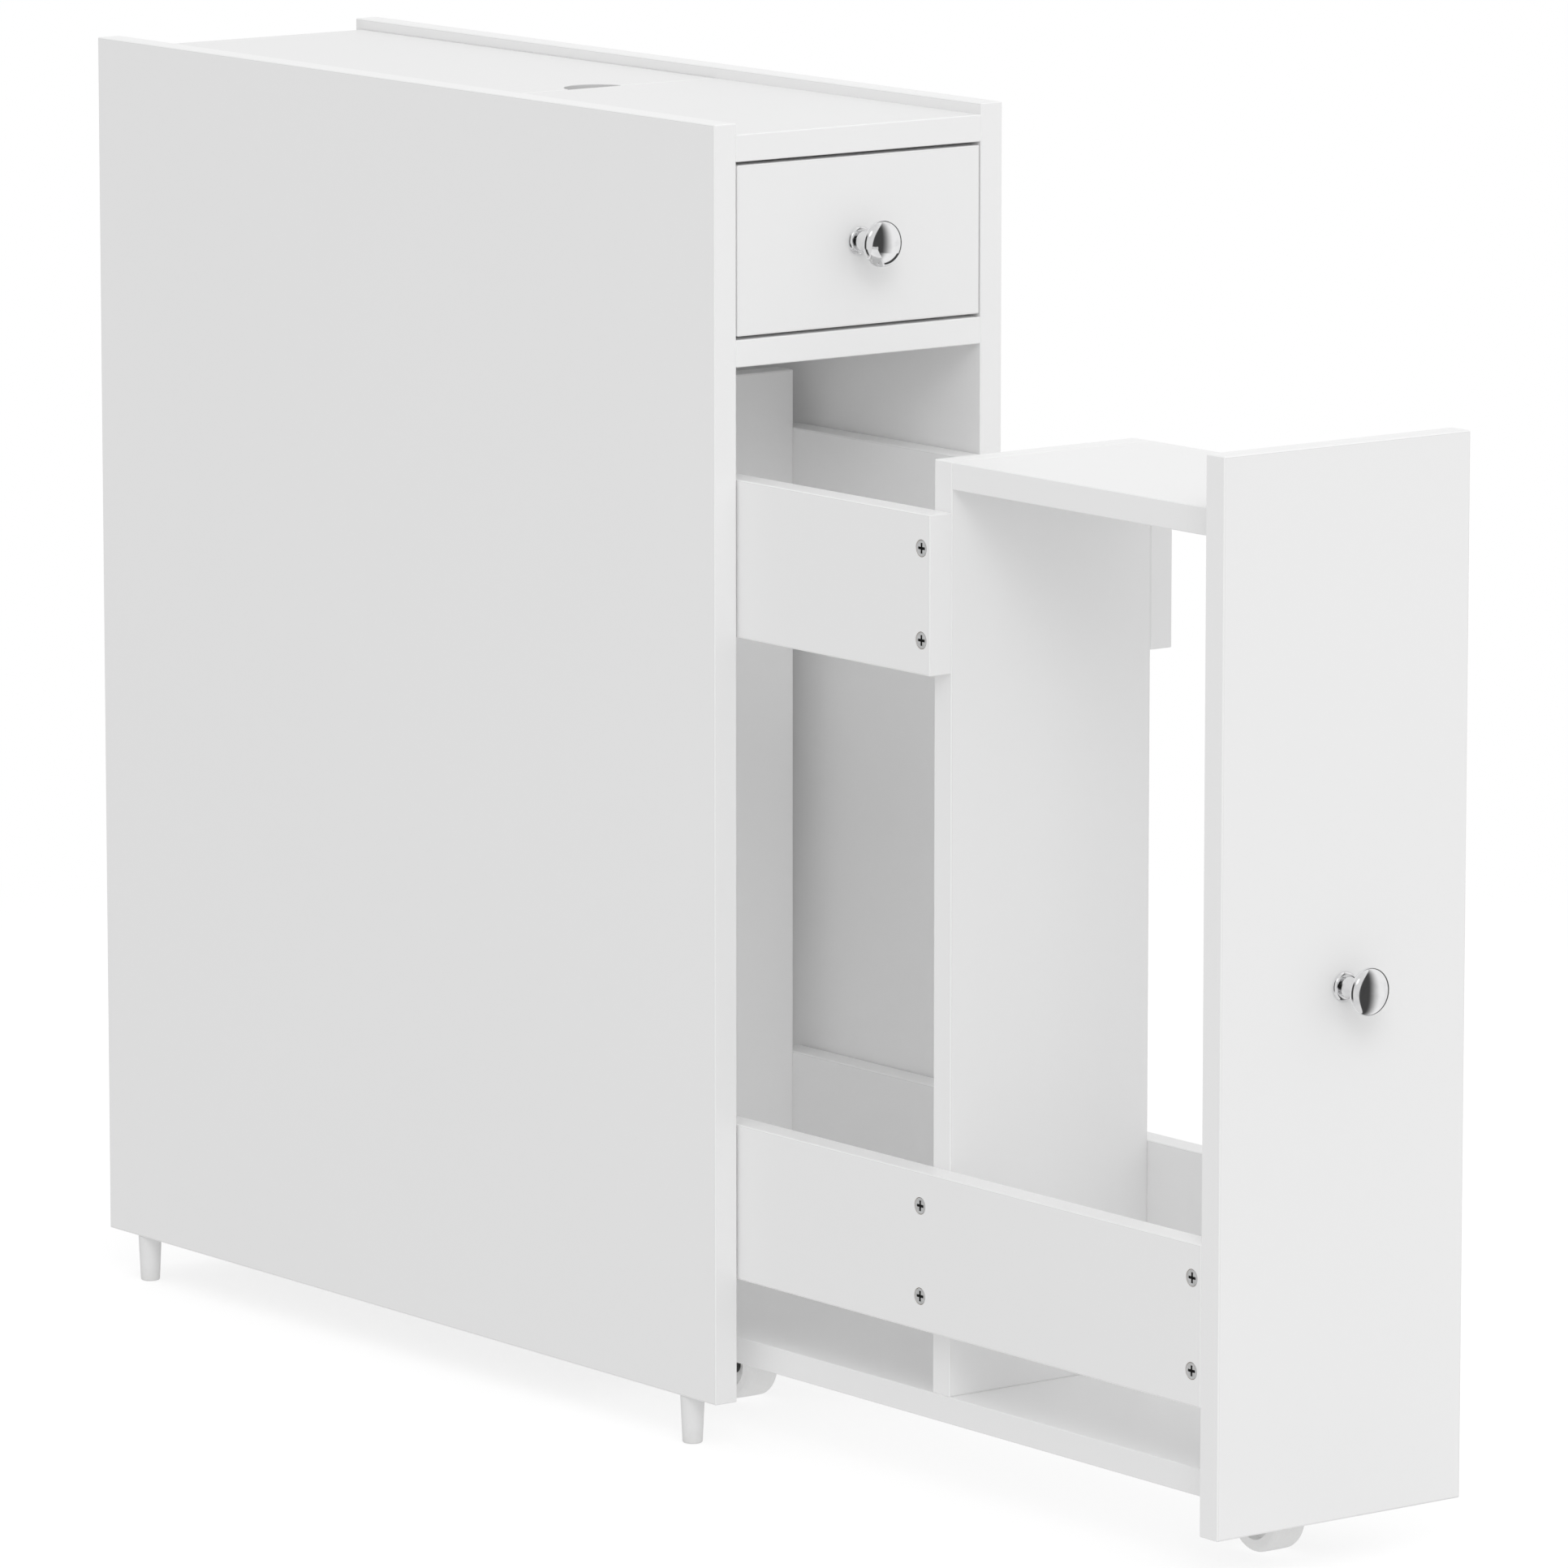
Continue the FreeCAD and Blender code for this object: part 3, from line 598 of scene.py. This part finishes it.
for name, boardNode in (("drawer_knob", "drawer_front"), ("rack_knob", "rack_front")):
    low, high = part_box(name)
    place = middle(name)
    place[1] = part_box(boardNode)[0][1]
    profile = knobProfile((high[0] - low[0]) / 2, place[1] - low[1])
    turnedPiece(name + "_turned", profile, [(place, (0, -1, 0))], name, around=knob["around"])

# Cross recesses: soft sides, shallower towards the ends of the arms
cross = {"soft": 0.12 * mm, "taper": 0.55}


def crossRecess(arm, width, depth, topSpan):
    # presses a tapered cross into the surface near distance 0, deepest at its middle
    def press(grid):
        x, y, z = np.moveaxis(grid, 2, 0)
        across = np.clip((width / 2 - np.minimum(np.abs(x), np.abs(y))) / cross["soft"] + 0.5, 0, 1)
        along = np.clip((arm / 2 - np.maximum(np.abs(x), np.abs(y))) / cross["soft"] + 0.5, 0, 1)
        taper = np.clip(1 - cross["taper"] * np.hypot(x, y) / (arm / 2), 0, 1)
        pressed = grid.copy()
        pressed[:, :, 2] += depth * across * along * taper * (np.abs(z) < topSpan)
        return pressed
    return press


# Countersunk screws: flat cross-recess heads, a cone and a shank in the wood
woodScrew = {
    "head": 3.6 * mm, "flatShare": 0.94, "headDepth": 2.6 * mm, "shank": 1.9 * mm, "length": 34 * mm,
    "edge": 0.25 * mm, "rings": 22, "sink": 0.15 * mm,
    "arm": 4.6 * mm, "width": 1.1 * mm, "depth": 1.2 * mm, "topSpan": 0.05 * mm,
    "fromEdge": 15 * mm, "drawerRise": 20 * mm, "baseSpread": 35 * mm,
}


def woodScrewProfile():
    head, shank, length = woodScrew["head"], woodScrew["shank"], woodScrew["length"]
    flat = head * woodScrew["flatShare"]
    top = np.stack([np.linspace(0, flat, woodScrew["rings"]), np.zeros(woodScrew["rings"])], 1)
    rest = softened([(flat, 0), (head, 0), (shank, woodScrew["headDepth"]),
                     (shank, length - 2 * shank), (0, length)], woodScrew["edge"])
    return np.concatenate([top, rest[1:]])


def railScrewPlaces():
    found = []
    carriers = {"lower": ("front_crosspiece", "rack_divider", "rack_rear_panel"),
                "upper": ("rack_divider", "rack_rear_panel")}
    for side, inward, corner in (("left", 1, 0), ("right", -1, 1)):
        for level, boards in carriers.items():
            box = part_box("%s_%s_rail" % (level, side))
            face = box[corner][0] + inward * woodScrew["sink"]
            for carrier in boards:
                for height in (box[0][2] + woodScrew["fromEdge"], box[1][2] - woodScrew["fromEdge"]):
                    found.append(((face, middle(carrier)[1], height), (inward, 0, 0)))
    return found


def drawerScrewPlaces():
    found = []
    for side, inward, corner in (("left", 1, 0), ("right", -1, 1)):
        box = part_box("drawer_%s_side" % side)
        face = box[corner][0] + inward * woodScrew["sink"]
        for height in (box[0][2] + woodScrew["drawerRise"], box[1][2] - woodScrew["fromEdge"]):
            found.append(((face, middle("drawer_back")[1], height), (inward, 0, 0)))
    return found


def baseScrewPlaces():
    found = []
    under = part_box("rack_base")[0][2] + woodScrew["sink"]
    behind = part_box("rack_rear_panel")[1][1] - woodScrew["sink"]
    for x in (-woodScrew["baseSpread"], woodScrew["baseSpread"]):
        found.append(((x, middle("rack_divider")[1], under), (0, 0, 1)))
        found.append(((x, behind, middle("rack_base")[2]), (0, -1, 0)))
    return found


screwCross = crossRecess(woodScrew["arm"], woodScrew["width"], woodScrew["depth"], woodScrew["topSpan"])
for node, places in (("rail_screws", railScrewPlaces()), ("drawer_screws", drawerScrewPlaces()),
                     ("rack_base_screws", baseScrewPlaces())):
    turnedPiece(node + "_cross_head", woodScrewProfile(), places, node, press=screwCross)

# Pan head screws: a low dome with a cross, for the casters and behind the knobs
panScrew = {"edge": 0.1 * mm, "armShare": 0.62, "width": 0.9 * mm, "depth": 1.0 * mm, "rings": 20}
casterScrew = {"head": 2.9 * mm, "rise": 1.6 * mm, "shank": 1.5 * mm, "length": 10.5 * mm}
casterPlate = {"screwSpacing": 34 * mm, "sheet": 1.5 * mm}
knobScrew = {"head": 4.0 * mm, "rise": 2.4 * mm, "shank": 2.0 * mm, "length": 22 * mm}


def panPiece(name, places, like, screw):
    # the head's height is rise * (1 - (radius / head) ^ 3)
    head, rise, shank, length = (screw[key] for key in ("head", "rise", "shank", "length"))
    radius = np.linspace(0, head, panScrew["rings"])
    top = np.stack([radius, rise * (radius / head) ** 3], 1)
    rest = softened([(head, rise), (shank, rise), (shank, rise + length - shank), (0, rise + length)],
                    panScrew["edge"])
    panCross = crossRecess(2 * head * panScrew["armShare"], panScrew["width"], panScrew["depth"], rise)
    turnedPiece(name, np.concatenate([top[:-1], rest]), places, like, press=panCross)


casterPlaces = []
for end in ("front", "rear"):
    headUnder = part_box(end + "_caster_bracket")[1][2] - casterPlate["sheet"] - casterScrew["rise"]
    axleY = middle(end + "_caster_wheel")[1]
    for step in (-0.5, 0.5):
        casterPlaces.append(((0, axleY + step * casterPlate["screwSpacing"], headUnder), (0, 0, 1)))
panPiece("caster_screws_pan_head", casterPlaces, "caster_screws", casterScrew)

for name, boardNode in (("drawer_knob_screw", "drawer_front"), ("rack_knob_screw", "rack_front")):
    place = middle(name)
    place[1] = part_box(boardNode)[1][1] + knobScrew["rise"]
    panPiece(name + "_pan_head", [(place, (0, -1, 0))], name, knobScrew)

# Wheels: crowned tread, round shoulders, a deep recess in each end and a hub
wheel = {
    "recess": 10.3 * mm, "web": 3.5 * mm, "hub": 3.8 * mm, "hubHalf": 4.7 * mm, "bore": 2.05 * mm,
    "shoulder": 2.5 * mm, "crown": 0.12 * mm, "edge": 0.35 * mm,
    "dirtDepth": 1.2 * mm, "dirtSoft": 1.0 * mm, "around": 128, "treadSteps": 26, "shoulderSteps": 14,
}


def wheelProfile(radius, half):
    # tread: radius - crown * (x / half) ^ 2
    recess, web, hub, hubHalf = (wheel[key] for key in ("recess", "web", "hub", "hubHalf"))
    shoulder = wheel["shoulder"]
    low = half - shoulder
    soft = shoulder * (1 - math.sqrt(0.5))
    side = radius - wheel["crown"] * (low / half) ** 2
    endEdge = (side - shoulder, half)
    walk = np.linspace(-low, low, wheel["treadSteps"])
    tread = np.stack([radius - wheel["crown"] * (walk / half) ** 2, walk], 1)
    far = threePointArc((side, low), (side - soft, half - soft), endEdge, wheel["shoulderSteps"])
    near = (far * (1, -1))[::-1]
    farEnd = [endEdge, (recess, half), (recess, web), (hub, web), (hub, hubHalf), (wheel["bore"], hubHalf)]
    nearEnd = [(across, -along) for across, along in farEnd[::-1]]
    inner = softened(farEnd + nearEnd, wheel["edge"])
    return np.concatenate([near[:-1], tread, far[1:], inner[1:-1]])


def treadShare(local):
    reach = np.hypot(local[:, 0], local[:, 1])
    return np.clip((reach - reach.max() + wheel["dirtDepth"]) / wheel["dirtSoft"], 0, 1)


for name in ("front_caster_wheel", "rear_caster_wheel"):
    low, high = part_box(name)
    profile = wheelProfile((high[2] - low[2]) / 2, (high[0] - low[0]) / 2)
    turnedPiece(name + "_moulded", profile, [(middle(name), (1, 0, 0))], name,
                closed=True, around=wheel["around"], tread=treadShare)

# Riveted axles: a plain shank with a low dome at each end
rivet = {
    "shank": 2.0 * mm, "head": 3.2 * mm, "rise": 1.2 * mm, "edge": 0.1 * mm, "around": 64, "domeSteps": 16,
}


def rivetProfile(half):
    # dome: part of a ball whose radius is (head ^ 2 + rise ^ 2) / (2 * rise)
    head, shank = rivet["head"], rivet["shank"]
    neck = half - rivet["rise"]
    ball = (head ** 2 + rivet["rise"] ** 2) / (2 * rivet["rise"])
    onDome = (head / 2, half - ball + math.sqrt(ball ** 2 - head ** 2 / 4))
    far = threePointArc((head, neck), onDome, (0, half), rivet["domeSteps"])
    near = (far * (1, -1))[::-1]
    stem = softened([(head, -neck), (shank, -neck), (shank, neck), (head, neck)], rivet["edge"])
    return np.concatenate([near, stem[1:-1], far])


for name in ("front_caster_axle", "rear_caster_axle"):
    low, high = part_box(name)
    profile = rivetProfile((high[0] - low[0]) / 2)
    turnedPiece(name + "_riveted", profile, [(middle(name), (1, 0, 0))], name, around=rivet["around"])

# Feet: a slim cone that widens towards the panel, with its stem in the panel's edge
foot = {
    "tip": 4.5 * mm, "body": 5.5 * mm, "stem": 3.0 * mm, "height": 22 * mm, "edge": 0.9 * mm, "around": 64,
}


def footProfile(tall):
    stem, height = foot["stem"], foot["height"]
    return softened([(0, 0), (foot["tip"], 0), (foot["body"], height),
                     (stem, height), (stem, tall), (0, tall)], foot["edge"])


for end in ("front", "rear"):
    for side in ("left", "right"):
        name = "%s_%s_foot" % (end, side)
        place = middle(name)
        place[2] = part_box(name)[0][2]
        turnedPiece(name + "_moulded", footProfile(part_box(name)[1][2]), [(place, (0, 0, 1))], name,
                    around=foot["around"])

# Studio: light all round, more from the front and the top, a soft key at the front left, a weak lamp above
studio = {
    "fill": 0.66, "tilt": (0.01, -0.21, 0.30), "below": 0.73, "horizon": (-0.12, 0.0), "bounces": 12,
    "keyAim": (-0.43, -0.70, 0.57), "keyDistance": 6.0, "keySize": 2.4, "keyPower": 52.0,
    "topAim": (0.0, 0.0, 1.0), "topDistance": 2.6, "topSize": 1.6, "topPower": 3.1,
}

# What mirrors see of the studio, by the bearing in degrees to the right of straight in front
mirrorRoom = {
    "leftGrey": 0.76, "rightGrey": 0.93, "greyTurn": (0.0, 49.0),  # grey in front, white at the right
    "dark": 0.06,  # of the gap, the strip and the flag
    "gapTurn": 20.0, "gapLeft": -0.50, "gapSharp": 0.07, "gapBow": 0.75, "gapRise": -0.17,
    "gapFade": (0.05, 0.56), "gapAhead": (0.0, 0.1),
    "stripAt": -82.0, "stripHalf": 24.0, "stripSoft": 6.0, "stripEnd": (0.45, 0.75),
    "flagAt": 100.0, "flagHalf": 14.0, "flagSoft": 4.0,
    "backGrey": 0.56, "backTurn": (112.0, 140.0), "backEnd": (-0.05, 0.08),  # low down behind
    "lampHalf": 11.0, "lampSoft": 2.5, "lampShown": 1.3,  # the key
}


def aimOf(lampName):
    aim = np.array(studio[lampName + "Aim"])
    return aim / np.linalg.norm(aim)


def upright(bearing, name):  # 1 within the half width of an upright board, with soft sides
    half = mirrorRoom[name + "Half"]
    return 1 - smooth((bearing - mirrorRoom[name + "At"]).size(), half - mirrorRoom[name + "Soft"], half)


def mirrored(x, y, z):
    # the level in direction (x, y, z); the gap's left edge is a bow: across = left + bow * (z - rise) ^ 2
    turn = math.radians(mirrorRoom["gapTurn"])
    across = x * math.cos(turn) + y * math.sin(turn)
    ahead = x * math.sin(turn) - y * math.cos(turn)
    rise = z - mirrorRoom["gapRise"]
    gapLeft = mirrorRoom["gapLeft"]
    inside = smooth(across - rise * rise * mirrorRoom["gapBow"], gapLeft, gapLeft + mirrorRoom["gapSharp"])
    gap = inside * (1 - smooth(across, *mirrorRoom["gapFade"])) * smooth(ahead, *mirrorRoom["gapAhead"])
    bearing = x.maths("ARCTAN2", x, 0 - y) * (180 / math.pi)
    strip = upright(bearing, "strip") * (1 - smooth(z.size(), *mirrorRoom["stripEnd"]))
    dark = gap.most(strip).most(upright(bearing, "flag"))
    back = smooth(bearing.size(), *mirrorRoom["backTurn"]) * (1 - smooth(z, *mirrorRoom["backEnd"]))
    toRight = smooth(bearing, *mirrorRoom["greyTurn"])
    level = mirrorRoom["leftGrey"] + toRight * (mirrorRoom["rightGrey"] - mirrorRoom["leftGrey"])
    level = level + back * (mirrorRoom["backGrey"] - level)
    return level + dark * (mirrorRoom["dark"] - level)


def rayIs(start, *kinds):  # 1 for rays of any of these kinds
    shares = [start.node("ShaderNodeLightPath", {}, {}, "Is %s Ray" % kind) for kind in kinds]
    return shares[0] if len(shares) == 1 else shares[0].most(shares[1])


def makeWorld():
    # the light from direction d is fill + tilt . d, and below the horizon that of the floor
    world = bpy.data.worlds.new("studio")
    bpy.context.scene.world = world
    world.use_nodes = True
    tree = world.node_tree
    tree.nodes.clear()
    output = tree.nodes.new("ShaderNodeOutputWorld")
    way = Tap(tree).node("ShaderNodeTexCoord", {}, {}, "Generated")
    x, y, z = split(way)
    tilt = studio["tilt"]
    fill = studio["fill"] + x * tilt[0] + y * tilt[1] + z * tilt[2]
    fill = fill + (1 - smooth(z, *studio["horizon"])) * (studio["below"] - fill)
    fill = fill + rayIs(way, "Camera", "Transmission") * (1 - fill)
    # mirrors see the key as a disc of its own size: the cosine to its aim says how near a direction is
    aim = aimOf("key")
    near = x * aim[0] + y * aim[1] + z * aim[2]
    outer = math.cos(math.radians(mirrorRoom["lampHalf"] + mirrorRoom["lampSoft"]))
    inner = math.cos(math.radians(mirrorRoom["lampHalf"] - mirrorRoom["lampSoft"]))
    surround = mirrored(x, y, z)
    inMirrors = surround + smooth(near, outer, inner) * (mirrorRoom["lampShown"] - surround)
    strength = fill + rayIs(way, "Glossy") * (inMirrors - fill)
    shown = way.node("ShaderNodeBackground", {}, {"Color": grey(1.0), "Strength": strength})
    tree.links.new(shown.socket, output.inputs["Surface"])


def makeLamp(name):
    # a soft square lamp out from the object's middle, hidden from mirrors: the world shows them the key,
    # at a level that leaves white boards unburnt
    lamp = bpy.data.lights.new(name, "AREA")
    lamp.shape = "SQUARE"
    lamp.size = studio[name + "Size"]
    lamp.energy = studio[name + "Power"]
    made = bpy.data.objects.new(name, lamp)
    bpy.context.scene.collection.objects.link(made)
    made.visible_glossy = False
    aim = aimOf(name)
    centre = (np.array(cadBox[0]) + np.array(cadBox[1])) / 2
    made.location = centre + aim * studio[name + "Distance"]
    made.rotation_euler = (math.acos(aim[2]), 0, math.atan2(aim[0], -aim[1]))


# Floor: a light table, a white disc that glows evenly, shows a soft shadow and fades into the white behind
floorDisc = {
    "radius": 1.5, "rings": 24, "around": 96, "under": 0.3 * mm, "bounce": grey(0.15), "bounceGlow": 0.605,
    "shown": grey(0.30), "shownGlow": 0.76, "fade": (0.9, 1.4), "mirrorsFrom": (0.0, -0.40, 0.30),
}


def glow(at, strength):
    return at.node("ShaderNodeEmission", {}, {"Color": grey(1.0), "Strength": strength})


def mattGlow(at, colour, strength):
    matt = at.node("ShaderNodeBsdfDiffuse", {}, {"Color": colour})
    return at.node("ShaderNodeAddShader", {}, {0: matt, 1: glow(at, strength)})


def mixShaders(share, first, second):
    return share.node("ShaderNodeMixShader", {}, {0: share, 1: first, 2: second})


def floorFinish():
    finish, place, surface = newFinish("floor_white")
    along = split(place)
    away = (along[0] * along[0] + along[1] * along[1]).root()
    lighting = mattGlow(place, floorDisc["bounce"], floorDisc["bounceGlow"])
    lifted = mattGlow(place, floorDisc["shown"], floorDisc["shownGlow"])
    shown = mixShaders(smooth(away, *floorDisc["fade"]), lifted, glow(place, 1.0))
    shown = mixShaders(rayIs(place, "Camera", "Transmission"), lighting, shown)
    # the floor's own picture in mirrors is drawn as seen from one spot between the knobs
    ways = [way - start for way, start in zip(along, floorDisc["mirrorsFrom"])]
    far = (ways[0] * ways[0] + ways[1] * ways[1] + ways[2] * ways[2]).root()
    inMirrors = glow(place, mirrored(*[way / far for way in ways]))
    above = mixShaders(rayIs(place, "Glossy"), shown, inMirrors)
    # clear from below, so that the underside can be looked at
    fromBelow = place.node("ShaderNodeNewGeometry", {}, {}, "Backfacing")
    clear = place.node("ShaderNodeBsdfTransparent", {}, {})
    place.tree.links.new(mixShaders(fromBelow, above, clear).socket, surface)
    return finish


def makeFloor():
    # point(r, t) = (r cos t, r sin t, just under 0), with a fan of triangles at the middle
    rings = np.linspace(0, floorDisc["radius"], floorDisc["rings"])[1:, None]
    angles = np.linspace(0, 2 * math.pi, floorDisc["around"], endpoint=False)
    level = 0 * rings * angles - floorDisc["under"]
    grid = np.stack([rings * np.cos(angles), rings * np.sin(angles), level], 2)
    index = 1 + np.arange(grid[..., 0].size).reshape(grid.shape[:2])
    inner, outer = index[:-1], index[1:]
    quads = np.stack([inner, outer, np.roll(outer, -1, 1), np.roll(inner, -1, 1)], 2).reshape(-1, 4)
    fan = np.stack([0 * index[0], index[0], np.roll(index[0], -1)], 1)
    points = np.concatenate([[[0, 0, -floorDisc["under"]]], grid.reshape(-1, 3)])
    mesh = bpy.data.meshes.new("floor")
    mesh.from_pydata(points, [], quads.tolist() + fan.tolist())
    floor = bpy.data.objects.new("floor", mesh)
    bpy.context.scene.collection.objects.link(floor)
    mesh.materials.append(floorFinish())


makeFloor()
makeWorld()
makeLamp("key")
makeLamp("top")
bpy.context.scene.cycles.diffuse_bounces = studio["bounces"]  # white boards pass light on many times
print("studio: floor, world and two lamps")

# Camera: long lens, seen from the front left and a little above
view = {
    "eye": (-2.93596, -3.84937, 1.10838), "heading": 37.3945, "pitch": 9.6548,
    "lens": 251.54, "sensor": 36.0,
}
cameraData = bpy.data.cameras.new("camera")
cameraData.sensor_width = view["sensor"]
cameraData.lens = view["lens"]
camera = bpy.data.objects.new("camera", cameraData)
bpy.context.scene.collection.objects.link(camera)
camera.location = view["eye"]
camera.rotation_euler = (math.radians(90 - view["pitch"]), 0, math.radians(-view["heading"]))
bpy.context.scene.camera = camera
bpy.context.scene.view_settings.view_transform = "Standard"
